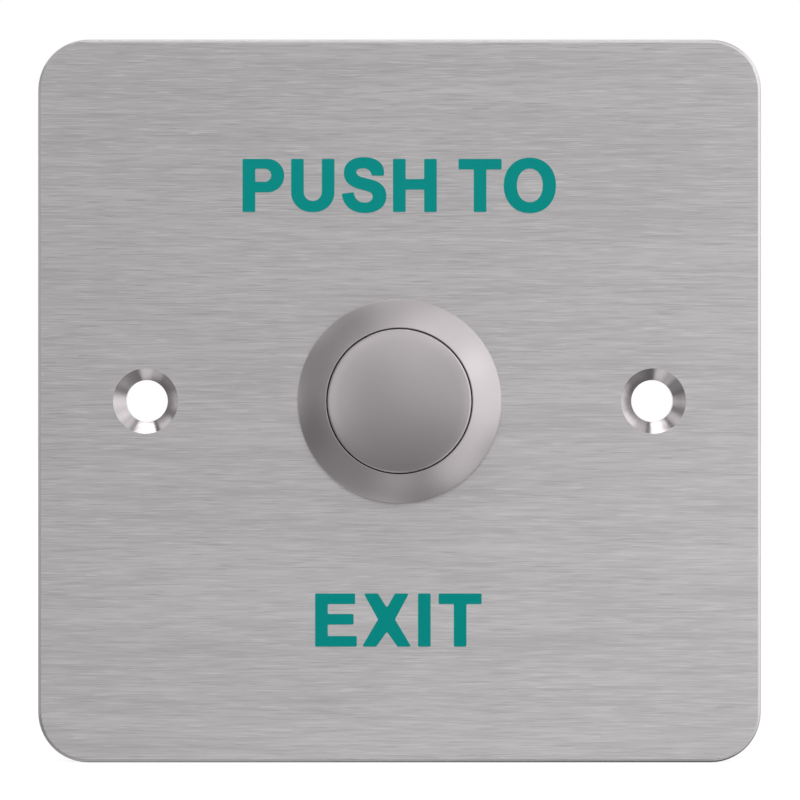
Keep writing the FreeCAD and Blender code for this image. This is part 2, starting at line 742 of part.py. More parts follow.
def make_moving_contact_rivet():
    """Rivet with a contact face on each side of the leaf."""
    head = "contact_dia / 2"
    shank = "contact_shank_dia / 2"
    crown = "-((contact_dia / 2)^2 + contact_head^2) / (2 * contact_head)"
    make_rivet("moving_contact_rivet", [
        (head, "lever_front", crown),
        ("0", "lever_front - contact_head"),
        ("0", "lever_rear + contact_head", crown),
        (head, "lever_rear"),
        (shank, "lever_rear"),
        (shank, "lever_front"),
    ])


def at_each_terminal(label, pattern_piece):
    """Like pieces at all the terminals, as one group of separate solids."""
    solids = []
    for k in range(TERMINALS):
        turned = FreeCAD.Placement(Vector(), FreeCAD.Rotation(Vector(0, 1, 0), k * TERMINAL_STEP))
        solid = pattern_piece.Shape.Solids[0].copy()
        solid.Placement = turned.multiply(solid.Placement)
        solids.append(solid)
    group = doc.addObject("Part::Feature", label)
    group.Label = label
    group.Shape = Part.makeCompound(solids)
    return group


def make_wire_clamps():
    body = new_body("wire_clamp_one")
    sketch = new_sketch(body, "XZ_Plane", "clamp_outline", "-(terminal_top)")
    draw_rectangle(
        sketch, "-clamp_half", "screw_radius - clamp_half", "clamp_half", "screw_radius + clamp_half")
    pad(body, sketch, "clamp_thickness", "plate")
    sketch = new_sketch(body, "XZ_Plane", "clamp_hole_outline", "-(terminal_top)")
    draw_circle(sketch, "0", "screw_radius", "screw_dia + 2 * screw_clearance")
    pocket(body, sketch, "clamp_thickness", "hole")
    at_each_terminal("wire_clamps", body)


def make_terminal_screws():
    """Pan head screw with a cross recess, its head on the clamp."""
    body = new_body("terminal_screw_one")
    shank = "screw_dia / 2"
    head = "screw_head_dia / 2"
    tip = "clamp_top - screw_length"
    turn(body, [
        ("0", tip),
        (shank, tip),
        (shank, "clamp_top"),
        (head, "clamp_top"),
        (head, "clamp_top + screw_head_height / 2"),
        (head + " - screw_head_height / 2", "clamp_top + screw_head_height"),
        ("0", "clamp_top + screw_head_height"),
    ])
    top = "clamp_top + screw_head_height"
    arm = "screw_cross_width / 2"
    half = "screw_slot_width / 2"
    sketch = new_sketch(body, "XZ_Plane", "cross_outline", "-(%s)" % top)
    draw_outline(sketch, [
        (half, half), (arm, half), (arm, "-" + half), (half, "-" + half),
        (half, "-(%s)" % arm), ("-" + half, "-(%s)" % arm), ("-" + half, "-" + half),
        ("-(%s)" % arm, "-" + half), ("-(%s)" % arm, half), ("-" + half, half),
        ("-" + half, arm), (half, arm),
    ])
    pocket(body, sketch, "screw_slot_depth", "cross", rearward=False)
    body.setExpression("Placement.Base.z", bound("screw_radius"))
    doc.recompute()
    at_each_terminal("terminal_screws", body)


make_face_plate()
make_bezel_housing()
make_bezel_gasket()
make_lock_washer()
make_mounting_nut()
make_button_cap()
make_cap_o_ring()
make_plunger()
make_return_spring()
make_contact_cover()
make_switch_base()
make_base_retaining_ring()
make_terminal_com()
make_terminal_no()
make_terminal_nc()
make_fixed_contact_no()
make_fixed_contact_nc()
make_moving_contact()
make_moving_contact_rivet()
make_wire_clamps()
make_terminal_screws()
doc.recompute()

NODES = [
    "face_plate", "bezel_housing", "bezel_gasket", "lock_washer", "mounting_nut", "button_cap",
    "cap_o_ring", "plunger", "return_spring", "contact_cover", "switch_base", "base_retaining_ring",
    "terminal_com", "terminal_no", "terminal_nc", "fixed_contact_no", "fixed_contact_nc",
    "moving_contact", "moving_contact_rivet", "wire_clamps", "terminal_screws",
]
GROUPS = ("wire_clamps", "terminal_screws")

for item in doc.Objects:
    if "Invalid" in item.State or "Error" in item.State:
        raise RuntimeError("%s failed: %s" % (item.Label, item.State))

pieces = {node: doc.getObjectsByLabel(node)[0] for node in NODES}
for node, piece in pieces.items():
    shape = piece.Shape
    if shape.isNull() or not shape.isValid():
        raise RuntimeError(node + " has no valid shape")
    wanted = TERMINALS if node in GROUPS else 1
    if len(shape.Solids) != wanted:
        raise RuntimeError("%s has %d solids" % (node, len(shape.Solids)))

os.makedirs("parts", exist_ok=True)
for node, piece in pieces.items():
    piece.Shape.exportStep("parts/%s.step" % node)
    print(node, round(piece.Shape.Volume, 2), "mm3")
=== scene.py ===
import json
import math

import bpy
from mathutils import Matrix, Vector


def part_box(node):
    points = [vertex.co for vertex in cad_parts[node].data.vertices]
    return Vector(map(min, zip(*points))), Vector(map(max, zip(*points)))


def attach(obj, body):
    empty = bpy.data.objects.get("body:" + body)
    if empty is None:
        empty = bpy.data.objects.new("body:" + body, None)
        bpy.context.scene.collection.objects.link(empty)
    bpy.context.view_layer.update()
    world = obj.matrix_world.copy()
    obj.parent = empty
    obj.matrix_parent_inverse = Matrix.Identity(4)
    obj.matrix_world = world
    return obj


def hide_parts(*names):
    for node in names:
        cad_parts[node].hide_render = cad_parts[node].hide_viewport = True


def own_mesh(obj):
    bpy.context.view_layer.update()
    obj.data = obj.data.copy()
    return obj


# A square brushed steel wall plate with a push button, seen head-on in a white studio.
# Lengths are in metres in the model's own frame: X right, Z up, Y into the wall.
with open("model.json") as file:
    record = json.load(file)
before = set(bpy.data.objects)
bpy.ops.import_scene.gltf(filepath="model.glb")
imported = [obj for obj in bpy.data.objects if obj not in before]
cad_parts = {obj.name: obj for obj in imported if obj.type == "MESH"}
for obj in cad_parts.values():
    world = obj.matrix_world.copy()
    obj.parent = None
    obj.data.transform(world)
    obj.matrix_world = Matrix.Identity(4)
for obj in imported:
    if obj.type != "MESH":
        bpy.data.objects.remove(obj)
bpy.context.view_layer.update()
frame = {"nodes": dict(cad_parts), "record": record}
MM = 0.001

PLATE_LOW, PLATE_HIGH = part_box("face_plate")
PLATE_FRONT = PLATE_LOW.y
PLATE_HALF = PLATE_HIGH.x

# Camera

CAMERA_DISTANCE = 230 * MM
PHOTO_WIDTH = 95.0 * MM
SENSOR_MM = 36.0
CLIP_RATIO = 50
FRAMING = Vector((0.06 * MM, 0, 0.12 * MM))


def make_camera():
    """Camera square to the plate, at the distance and framing of the photograph."""
    data = bpy.data.cameras.new("camera")
    data.sensor_width = SENSOR_MM
    data.lens = SENSOR_MM * CAMERA_DISTANCE / PHOTO_WIDTH
    data.clip_start = CAMERA_DISTANCE / CLIP_RATIO
    data.clip_end = CAMERA_DISTANCE * CLIP_RATIO
    camera = bpy.data.objects.new("camera", data)
    camera.location = FRAMING + Vector((0, PLATE_FRONT - CAMERA_DISTANCE, 0))
    camera.rotation_euler = (math.radians(90), 0, 0)
    bpy.context.scene.collection.objects.link(camera)
    bpy.context.scene.camera = camera


# Node helpers

# Places of a Mix node's sockets, whose names repeat.
MIX_NUMBERS = (2, 3)
MIX_COLOURS = (6, 7)
MIX_COLOUR_OUT = 2
BEVEL_SAMPLES = 4


class Nodes:
    """Short forms for building one node tree."""

    def __init__(self, tree):
        self.tree = tree
        self.tree.nodes.clear()

    def add(self, kind, **settings):
        node = self.tree.nodes.new(kind)
        for name, setting in settings.items():
            setattr(node, name, setting)
        return node

    def link(self, output, target):
        self.tree.links.new(output, target)

    def feed(self, target, source):
        """Give a socket either another socket's output or a plain value."""
        if isinstance(source, bpy.types.NodeSocket):
            self.link(source, target)
        else:
            target.default_value = source

    def math(self, operation, a, b):
        node = self.add("ShaderNodeMath", operation=operation)
        for target, source in zip(node.inputs, (a, b)):
            self.feed(target, source)
        return node.outputs[0]

    def vector_math(self, operation, a, b=(0, 0, 0)):
        node = self.add("ShaderNodeVectorMath", operation=operation)
        self.feed(node.inputs[0], a)
        self.feed(node.inputs[1], b)
        return node.outputs["Value" if operation in ("DOT_PRODUCT", "LENGTH") else "Vector"]

    def ramp(self, value, low, high, out_low=0.0, out_high=1.0, smooth=False):
        node = self.add("ShaderNodeMapRange", interpolation_type="SMOOTHSTEP" if smooth else "LINEAR")
        for name, source in (
            ("Value", value), ("From Min", low), ("From Max", high),
            ("To Min", out_low), ("To Max", out_high),
        ):
            self.feed(node.inputs[name], source)
        return node.outputs["Result"]

    def place(self, stretch=(1, 1, 1)):
        """The object's own coordinates in millimetres, each divided by its stretch."""
        scale = tuple(1 / (MM * s) for s in stretch)
        own = self.add("ShaderNodeTexCoord").outputs["Object"]
        return self.vector_math("MULTIPLY", own, scale)

    def noise(self, where, detail=2.0):
        node = self.add("ShaderNodeTexNoise")
        self.link(where, node.inputs["Vector"])
        node.inputs["Scale"].default_value = 1.0
        node.inputs["Detail"].default_value = detail
        return node.outputs["Fac"]

    def rings(self, distance, pitch):
        """Noise that depends on a distance alone, in steps of about one pitch."""
        node = self.add("ShaderNodeCombineXYZ")
        self.link(self.math("DIVIDE", distance, pitch), node.inputs["X"])
        return self.noise(node.outputs["Vector"])

    def colours(self, fac, dark, light):
        node = self.add("ShaderNodeMix", data_type="RGBA")
        self.feed(node.inputs["Factor"], fac)
        for target, colour in zip(MIX_COLOURS, (dark, light)):
            self.feed(node.inputs[target], (*colour, 1))
        return node.outputs[MIX_COLOUR_OUT]

    def bump(self, height, distance, normal=None):
        node = self.add("ShaderNodeBump")
        node.inputs["Distance"].default_value = distance
        self.link(height, node.inputs["Height"])
        if normal is not None:
            self.link(normal, node.inputs["Normal"])
        return node.outputs["Normal"]

    def soft_edges(self, radius):
        """Normals that round off the edges of machined and moulded pieces."""
        node = self.add("ShaderNodeBevel", samples=BEVEL_SAMPLES)
        node.inputs["Radius"].default_value = radius
        return node.outputs["Normal"]


def surface(name, **constants):
    """A material with one shader. Constants are set on the shader's own sockets."""
    material = bpy.data.materials.new(name)
    material.use_nodes = True
    nodes = Nodes(material.node_tree)
    shader = nodes.add("ShaderNodeBsdfPrincipled")
    output = nodes.add("ShaderNodeOutputMaterial")
    nodes.link(shader.outputs["BSDF"], output.inputs["Surface"])
    for socket, constant in constants.items():
        shader.inputs[socket.replace("_", " ")].default_value = constant
    return material, nodes, shader.inputs


def shades(colour, spread):
    """A darker and a lighter form of a colour."""
    return tuple(c * (1 - spread) for c in colour), tuple(c * (1 + spread) for c in colour)


# Materials

STEEL = (0.805, 0.783, 0.795)
CUT_EDGE = (0.70, 0.68, 0.69)
SATIN = (0.555, 0.519, 0.532)
CAP = (0.540, 0.505, 0.518)
PRINT_TEAL = (0.0003, 0.262, 0.240)

# Lengths in millimetres along X, Y and Z over which the plate's brushed pattern changes.
FINE_STREAK = (4.6, 0.3, 0.14)
LONG_STREAK = (9.0, 0.8, 0.42)
BROAD_STREAK = (40.0, 3.0, 3.0)
SCRATCH = (3.6, 0.3, 0.10)
BROAD_WEIGHT = 0.14
STREAK_CONTRAST = 0.155
STREAK_DEPTH = 0.010 * MM
# The scratches' strength changes slowly along this line across the plate, and so does a painted sheen that
# makes the colour lighter towards the lower right.
DRIFT_LINE = (0.35, 0, -0.65)
# Amount of painted sheen: the plate's colour goes from a little darker at the upper left to lighter at the
# lower right, in place of uneven light.
PAINTED_SHEEN_DRIFT = 0.10


def brushed_plate():
    """Stainless sheet brushed from left to right.

    Fine streaks of two sizes and sparse scratches lie over a painted sheen: the colour is made slowly
    lighter towards the lower right, standing in for light that falls unevenly on the sheet.
    """
    material, nodes, shader = surface("brushed_plate", Metallic=1.0, Anisotropic=0.85)
    fine = nodes.noise(nodes.place(FINE_STREAK), detail=1.0)
    long = nodes.noise(nodes.place(LONG_STREAK), detail=1.0)
    broad = nodes.noise(nodes.place(BROAD_STREAK), detail=2.0)
    cuts = nodes.noise(nodes.place(SCRATCH), detail=0.0)
    streaks = nodes.math("ADD", nodes.math("MULTIPLY", fine, 0.5), nodes.math("MULTIPLY", long, 0.5))
    bright = nodes.ramp(cuts, 0.67, 0.72)
    deep = nodes.ramp(cuts, 0.33, 0.28)
    lines = nodes.math("SUBTRACT", bright, deep)
    across = nodes.vector_math("DOT_PRODUCT", nodes.place((PLATE_HALF / MM,) * 3), DRIFT_LINE)
    sharpness = nodes.ramp(across, -0.5, 0.3, 0.65, 0.45, smooth=True)
    tone = nodes.math("ADD", nodes.ramp(streaks, 0.2, 0.8), nodes.math("MULTIPLY", lines, sharpness))
    bands = nodes.math("MULTIPLY", nodes.ramp(broad, 0.3, 0.7, -1.0), BROAD_WEIGHT)
    tone = nodes.math("ADD", tone, bands)
    # Painted sheen: the base colour is made lighter towards the lower right, standing in for light that
    # falls unevenly on the plate.
    painted_sheen = nodes.ramp(across, -0.6, 0.9, 1 - PAINTED_SHEEN_DRIFT / 2, 1 + PAINTED_SHEEN_DRIFT, smooth=True)
    dark, light = shades(STEEL, STREAK_CONTRAST)
    plain = nodes.colours(tone, dark, light)
    nodes.link(nodes.vector_math("MULTIPLY", plain, painted_sheen), shader["Base Color"])
    nodes.link(nodes.ramp(streaks, 0.2, 0.8, 0.48, 0.56), shader["Roughness"])
    nodes.link(nodes.bump(streaks, STREAK_DEPTH), shader["Normal"])
    grain = nodes.add("ShaderNodeCombineXYZ")
    grain.inputs["Z"].default_value = 1.0
    nodes.link(grain.outputs["Vector"], shader["Tangent"])
    return material


def ring_distance(nodes, centre_x):
    """Distance and offset, in millimetres, from a line along Y through a point on the X axis."""
    offset = nodes.vector_math("SUBTRACT", nodes.place(), (centre_x / MM, 0, 0))
    flat = nodes.vector_math("MULTIPLY", offset, (1, 0, 1))
    return nodes.vector_math("LENGTH", flat), flat


CUTTER_PITCH = 1 / 18


def turned_sink(centre_x):
    """Bright turned cone of a countersink, with fine rings left by the cutter."""
    material, nodes, shader = surface("turned_sink", Metallic=1.0)
    distance, flat = ring_distance(nodes, centre_x)
    rings = nodes.rings(distance, CUTTER_PITCH)
    dark, light = shades(SATIN, 0.07)
    nodes.link(nodes.colours(rings, dark, light), shader["Base Color"])
    patches = nodes.noise(nodes.vector_math("MULTIPLY", flat, (0.45, 0.45, 0.45)), detail=1.0)
    nodes.link(nodes.ramp(patches, 0.3, 0.7, 0.10, 0.20), shader["Roughness"])
    nodes.link(nodes.bump(rings, 0.004 * MM), shader["Normal"])
    return material


def satin_metal(name, colour, roughness, ring_pitch, ring_depth):
    """Turned and blasted metal: faint rings about the button's axis under an even satin."""
    material, nodes, shader = surface(name, Metallic=1.0)
    distance, _ = ring_distance(nodes, 0.0)
    rings = nodes.rings(distance, ring_pitch)
    grit = nodes.noise(nodes.place((0.12, 0.12, 0.12)), detail=2.0)
    cloud = nodes.noise(nodes.place((4.0, 4.0, 4.0)), detail=2.0)
    mixed = nodes.math("ADD", nodes.math("MULTIPLY", rings, 0.5), nodes.math("MULTIPLY", grit, 0.5))
    dark, light = shades(colour, 0.05)
    nodes.link(nodes.colours(nodes.ramp(mixed, 0.3, 0.7), dark, light), shader["Base Color"])
    nodes.link(nodes.ramp(cloud, 0.0, 1.0, roughness, roughness + 0.03), shader["Roughness"])
    nodes.link(nodes.bump(mixed, ring_depth), shader["Normal"])
    return material


def plated(name, colour, roughness):
    """Plated steel small parts, with soft edges and slight cloudiness."""
    material, nodes, shader = surface(name, Metallic=1.0)
    cloud = nodes.noise(nodes.place((1.6, 1.6, 1.6)), detail=3.0)
    fine = nodes.noise(nodes.place((0.15, 0.15, 0.15)), detail=2.0)
    dark, light = shades(colour, 0.07)
    nodes.link(nodes.colours(cloud, dark, light), shader["Base Color"])
    nodes.link(nodes.ramp(cloud, 0.0, 1.0, roughness, roughness + 0.1), shader["Roughness"])
    nodes.link(nodes.bump(fine, 0.004 * MM, nodes.soft_edges(0.12 * MM)), shader["Normal"])
    return material


def moulded(name, colour, roughness, grain_size, grain_depth):
    """Moulded plastic or rubber with a fine matt grain."""
    material, nodes, shader = surface(name)
    grain = nodes.noise(nodes.place((grain_size,) * 3), detail=3.0)
    cloud = nodes.noise(nodes.place((3.0, 3.0, 3.0)), detail=1.0)
    dark, light = shades(colour, 0.12)
    nodes.link(nodes.colours(cloud, dark, light), shader["Base Color"])
    nodes.link(nodes.ramp(grain, 0.3, 0.7, roughness - 0.06, roughness + 0.06), shader["Roughness"])
    nodes.link(nodes.bump(grain, grain_depth, nodes.soft_edges(0.15 * MM)), shader["Normal"])
    return material


def screen_print():
    """Opaque printed ink, slightly uneven in gloss."""
    material, nodes, shader = surface("screen_print", Specular_IOR_Level=0.08)
    mottle = nodes.noise(nodes.place((0.5, 0.5, 0.5)), detail=2.0)
    dark, light = shades(PRINT_TEAL, 0.05)
    nodes.link(nodes.colours(mottle, dark, light), shader["Base Color"])
    nodes.link(nodes.ramp(mottle, 0.3, 0.7, 0.42, 0.55), shader["Roughness"])
    nodes.link(nodes.bump(mottle, 0.002 * MM), shader["Normal"])
    return material


# Looks of the carried-over pieces

SINK_REACH = 3.95 * MM
FLAT_FACE = 0.98


def dress(node, material):
    """Give a carried-over piece its material."""
    mesh = frame["nodes"][node].data
    mesh.materials.clear()
    mesh.materials.append(material)
    return mesh


def dress_face_plate():
    """Brushed sheet with smoother cut edges, and with both countersinks and their bores turned bright."""
    fixing = next(m for m in frame["record"]["mounts"] if m["name"] == "fixing_holes")
    half_pitch = fixing["dims"]["spacing_x_mm"] * MM / 2
    mesh = dress("face_plate", brushed_plate())
    centres = (-half_pitch, half_pitch)
    for centre_x in centres:
        mesh.materials.append(turned_sink(centre_x))
    mesh.materials.append(satin_metal("cut_edge", CUT_EDGE, 0.31, 0.3, 0.0008 * MM))
    edge_slot = len(mesh.materials) - 1
    for polygon in mesh.polygons:
        if abs(polygon.normal.y) >= FLAT_FACE:
            continue
        polygon.material_index = edge_slot
        for slot, centre_x in enumerate(centres, start=1):
            if math.hypot(polygon.center.x - centre_x, polygon.center.z) < SINK_REACH:
                polygon.material_index = slot


def dress_nodes():
    dress_face_plate()
    satin = satin_metal("satin_metal", SATIN, 0.29, 0.09, 0.0012 * MM)
    cap = satin_metal("cap_metal", CAP, 0.278, 0.12, 0.0008 * MM)
    dress("bezel_housing", satin)
    dress("button_cap", cap)
    rubber = moulded("seal_rubber", (0.022, 0.022, 0.022), 0.62, 0.2, 0.01 * MM)
    nickel = plated("plated_steel", (0.62, 0.61, 0.585), 0.28)
    zinc = plated("screw_steel", (0.66, 0.66, 0.67), 0.29)
    spring = plated("spring_steel", (0.38, 0.38, 0.39), 0.34)
    black = moulded("base_plastic", (0.018, 0.018, 0.020), 0.48, 0.25, 0.012 * MM)
    natural = moulded("plunger_plastic", (0.78, 0.76, 0.70), 0.4, 0.3, 0.006 * MM)
    brass = plated("terminal_brass", (0.78, 0.58, 0.27), 0.28)
    silver = plated("contact_silver", (0.86, 0.85, 0.82), 0.28)
    for material, nodes in (
        (rubber, ("bezel_gasket", "cap_o_ring")),
        (nickel, ("lock_washer", "mounting_nut", "wire_clamps")),
        (zinc, ("terminal_screws",)),
        (spring, ("base_retaining_ring",)),
        (black, ("contact_cover", "switch_base")),
        (natural, ("plunger",)),
        (brass, ("terminal_com", "terminal_no", "terminal_nc", "moving_contact")),
        (silver, ("fixed_contact_no", "fixed_contact_nc", "moving_contact_rivet")),
    ):
        for node in nodes:
            dress(node, material)
    return satin, cap, spring


# Pieces made here

def mesh_piece(name, vertices, faces, material, smooth=True):
    mesh = bpy.data.meshes.new(name)
    mesh.from_pydata(vertices, [], faces)
    mesh.update()
    if smooth:
        mesh.shade_smooth()
    mesh.materials.append(material)
    piece = bpy.data.objects.new(name, mesh)
    bpy.context.scene.collection.objects.link(piece)
    return piece


def arc_between(start, end, radius, steps):
    """Points on the short arc between two profile points, bulging forward on the way inwards."""
    a, b = Vector(start), Vector(end)
    half = (b - a) / 2
    reach = math.sqrt(radius * radius - half.length_squared)
    side = Vector((half.y, -half.x)).normalized() * math.copysign(reach, radius)
    centre = (a + b) / 2 + side
    first = math.atan2(a.y - centre.y, a.x - centre.x)
    turn = Vector((a - centre)).angle_signed(b - centre) * -1
    return [
        (centre.x + abs(radius) * math.cos(first + turn * i / steps),
         centre.y + abs(radius) * math.sin(first + turn * i / steps))
        for i in range(steps + 1)
    ]


CURVE_STEPS = 12


def bend(*points):
    """Points on a cubic curve given by four control points, without the first."""
    a, b, c, d = (Vector(p) for p in points)
    curve = []
    for i in range(1, CURVE_STEPS + 1):
        t = i / CURVE_STEPS
        u = 1 - t
        curve.append(tuple(u ** 3 * a + 3 * u * u * t * b + 3 * u * t * t * c + t ** 3 * d))
    return curve


ROUNDING_STEPS = 6


def rounded(points, radii):
    """Profile with some corners, by index, rounded off."""
    result = []
    for i, here in enumerate(points):
        if i not in radii:
            result.append(here)
            continue
        p = Vector(here)
        a = (Vector(points[i - 1]) - p).normalized()
        b = (Vector(points[(i + 1) % len(points)]) - p).normalized()
        half = a.angle(b) / 2
        cut = radii[i] / math.tan(half)
        centre = p + (a + b).normalized() * radii[i] / math.sin(half)
        start = p + a * cut - centre
        sweep = -start.angle_signed(p + b * cut - centre)
        first = math.atan2(start.y, start.x)
        for k in range(ROUNDING_STEPS + 1):
            angle = first + sweep * k / ROUNDING_STEPS
            result.append((centre.x + radii[i] * math.cos(angle), centre.y + radii[i] * math.sin(angle)))
    return result


LATHE_STEPS = 224
LATHE_SHARP_DEGREES = 24
ON_AXIS = 1e-6


def lathe(name, profile, material, closed=True):
    """Turned piece: a profile of radius and level in millimetres, carried round the Y axis."""
    vertices = []
    rings = []
    for radius, level in profile:
        if radius < ON_AXIS:
            rings.append([len(vertices)])
            vertices.append((0, level * MM, 0))
            continue
        rings.append(list(range(len(vertices), len(vertices) + LATHE_STEPS)))
        for k in range(LATHE_STEPS):
            a = 2 * math.pi * k / LATHE_STEPS
            vertices.append((radius * MM * math.cos(a), level * MM, radius * MM * math.sin(a)))
    pairs = list(zip(rings, rings[1:]))
    if closed:
        pairs.append((rings[-1], rings[0]))
    faces = []
    for here, there in pairs:
        for k in range(LATHE_STEPS):
            after = (k + 1) % LATHE_STEPS
            if len(here) == 1:
                faces.append((here[0], there[k], there[after]))
            elif len(there) == 1:
                faces.append((here[after], here[k], there[0]))
            else:
                faces.append((here[after], here[k], there[k], there[after]))
    piece = mesh_piece(name, vertices, faces, material)
    piece.data.set_sharp_from_angle(angle=math.radians(LATHE_SHARP_DEGREES))
    return piece


BEZEL_RIM = (8.58, -4.21)
BEZEL_EDGE = (12.1, -2.45)
BEZEL_ROUNDING = 0.1
CROWN_RADIUS = 22.0
CROWN_STEPS = 24


def make_bezel(material):
    """The bezel and barrel, with a crisp lip and a fine-turned crown."""
    crown = arc_between(BEZEL_EDGE, BEZEL_RIM, CROWN_RADIUS, CROWN_STEPS)
    profile = [(BEZEL_EDGE[0], -2.0)] + crown + [
        (BEZEL_RIM[0], -1.4), (9.1, -1.4), (9.1, 4.2), (9.5, 4.2), (9.5, 10.3), (9.85, 10.3), (9.85, 11.15),
        (9.5, 11.15), (9.5, 12.0), (9.9, 12.0), (10.4, 11.5), (10.4, 0.2), (11.0, -0.4), (11.0, -2.3),
        (11.8, -2.3), (11.8, -2.0),
    ]
    profile = rounded(profile, {1: BEZEL_ROUNDING, len(crown): BEZEL_ROUNDING})
    bezel = lathe("turned_bezel", profile, material)
    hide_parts("bezel_housing")
    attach(bezel, "housing")


CAP_TOP = (0.0, -5.3)
CAP_SHOULDER = (7.15, -4.77)
CAP_ROLL = (8.27, -4.55)
CAP_ROLL_PULL = ((8.46, -4.43), (8.37, -4.527))
CAP_SIDE = (8.46, -4.32)
SHOULDER_RADIUS = 12.0
SHOULDER_STEPS = 16
DOME_STEPS = 40


def make_cap(material):
    """The button's cap: a flat dome that rolls over at its shoulder, and its hidden skirt."""
    rise = CAP_SHOULDER[1] - CAP_TOP[1]
    dome = (CAP_SHOULDER[0] ** 2 + rise ** 2) / (2 * rise)
    roll = bend(CAP_SIDE, *CAP_ROLL_PULL, CAP_ROLL)
    shoulder = arc_between(CAP_ROLL, CAP_SHOULDER, SHOULDER_RADIUS, SHOULDER_STEPS)
    top = arc_between(CAP_SHOULDER, CAP_TOP, dome, DOME_STEPS)
    skirt = [
        (0.0, -3.6), (1.45, -3.6), (1.45, -0.8), (2.9, -0.8), (2.9, -3.6), (7.0, -3.6), (7.0, 2.1),
        (8.95, 2.1), (8.95, 0.3), (7.95, 0.3), (7.95, -0.9), (8.95, -0.9), (8.95, -1.3), (CAP_SIDE[0], -1.3),
    ]
    profile = skirt + [CAP_SIDE] + roll + shoulder[1:] + top[1:]
    profile[-1] = CAP_TOP
    cap = lathe("domed_cap", profile, material, closed=False)
    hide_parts("button_cap")
    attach(cap, "button")


def coil(name, section, spine, material):
    """Closed section, given as steps out and along, carried round the Y axis.

    The spine gives the angle, radius and level of each station, and a size for the section.
    """
    vertices = []
    faces = []
    count = len(section)
    for angle, radius, level, size in spine:
        for out, along in section:
            reach = radius + out * size
            vertices.append((reach * math.cos(angle), level + along * size, reach * math.sin(angle)))
    for i in range(len(spine) - 1):
        for k in range(count):
            after = (k + 1) % count
            here, there = i * count, (i + 1) * count
            faces.append((here + k, here + after, there + after, there + k))
    faces.append(tuple(range(count))[::-1])
    faces.append(tuple(len(vertices) - count + k for k in range(count)))
    return mesh_piece(name, vertices, faces, material)


THREAD_PITCH = 1.0 * MM
THREAD_START = 0.5 * MM
THREAD_STEPS = 96
THREAD_CORE = 10.4 * MM
THREAD_CREST = 11.0 * MM
THREAD_SINK = 0.05 * MM
THREAD_ROOT_HALF = 0.43 * MM
THREAD_CREST_HALF = 0.07 * MM
THREAD_FADE_TURNS = 0.35
THREAD_FADE_LEAST = 0.06
THREAD_SHARP_DEGREES = 30


def make_barrel_thread():
    """The fine thread on the barrel, a ridge that fades out at both ends."""
    _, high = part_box("bezel_housing")
    end = high.y - THREAD_PITCH
    turns = (end - THREAD_START) / THREAD_PITCH
    steps = int(turns * THREAD_STEPS)
    height = THREAD_CREST - THREAD_CORE
    section = [
        (-THREAD_SINK, -THREAD_ROOT_HALF), (height, -THREAD_CREST_HALF),
        (height, THREAD_CREST_HALF), (-THREAD_SINK, THREAD_ROOT_HALF),
    ]
    spine = []
    for i in range(steps + 1):
        turn = i / THREAD_STEPS
        fade = min(turn, turns - turn) / THREAD_FADE_TURNS
        size = min(1.0, max(THREAD_FADE_LEAST, fade))
        level = THREAD_START + THREAD_PITCH * turn
        spine.append((2 * math.pi * turn, THREAD_CORE, level, size))
    thread = coil("barrel_thread", section, spine, bpy.data.materials["satin_metal"])
    thread.data.set_sharp_from_angle(angle=math.radians(THREAD_SHARP_DEGREES))
    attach(thread, "housing")


SPRING_WIRE_RADIUS = 0.35 * MM
SPRING_TURNS = 6.5
SPRING_CLOSED_TURNS = 1.0
SPRING_CLOSED_PITCH = 2.03 * SPRING_WIRE_RADIUS
SPRING_STEPS = 48
SPRING_SIDES = 14


def make_return_spring(material):
    """Compression spring with closed ends."""
    low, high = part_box("return_spring")
    radius = high.x - SPRING_WIRE_RADIUS
    first = low.y + SPRING_WIRE_RADIUS
    last = high.y - SPRING_WIRE_RADIUS
    section = [
        (SPRING_WIRE_RADIUS * math.cos(a), SPRING_WIRE_RADIUS * math.sin(a))
        for a in (2 * math.pi * k / SPRING_SIDES for k in range(SPRING_SIDES))
    ]
    closed_rise = SPRING_CLOSED_PITCH * SPRING_CLOSED_TURNS
    open_turns = SPRING_TURNS - 2 * SPRING_CLOSED_TURNS
    open_rise = (last - first) - 2 * closed_rise
    spine = []
    for i in range(int(SPRING_TURNS * SPRING_STEPS) + 1):
        turn = i / SPRING_STEPS
        if turn < SPRING_CLOSED_TURNS:
            level = closed_rise * turn / SPRING_CLOSED_TURNS
        elif turn < SPRING_TURNS - SPRING_CLOSED_TURNS:
            level = closed_rise + open_rise * (turn - SPRING_CLOSED_TURNS) / open_turns
        else:
            level = closed_rise + open_rise
            level += closed_rise * (turn - SPRING_TURNS + SPRING_CLOSED_TURNS) / SPRING_CLOSED_TURNS
        spine.append((2 * math.pi * turn, radius, first + level, 1.0))
    spring = coil("coil_spring", section, spine, material)
    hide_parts("return_spring")
    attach(spring, "housing")
    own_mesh(spring)


# Letters. Each is drawn in millimetres from its left edge and its base line.

CAP_HEIGHT = 6.3
STEM = 1.5
BAR = 1.25
PRINT_THICKNESS = 0.03 * MM
CORNER = 0.16
CORNER_STEPS = 4
CORNER_LEAST_TURN = math.radians(25)
CORNER_MOST_CUT = 0.45
UPPER_BASE = 22.45
LOWER_BASE = -29.16
ARC_STEPS = 20
OVAL_STEPS = 64
OVAL_POWER = 0.94


def arc(centre, radii, start, stop):
    """Points on an ellipse's arc, angles in degrees."""
    points = []
    for i in range(ARC_STEPS + 1):
        a = math.radians(start + (stop - start) * i / ARC_STEPS)
        points.append((centre[0] + radii[0] * math.cos(a), centre[1] + radii[1] * math.sin(a)))
    return points


def full_oval(centre, radii):
    """Closed oval that is a little squarer than an ellipse."""
    points = []
    for i in range(OVAL_STEPS):
        a = 2 * math.pi * i / OVAL_STEPS
        c, s = math.cos(a), math.sin(a)
        points.append((
            centre[0] + radii[0] * math.copysign(abs(c) ** OVAL_POWER, c),
            centre[1] + radii[1] * math.copysign(abs(s) ** OVAL_POWER, s)))
    return points


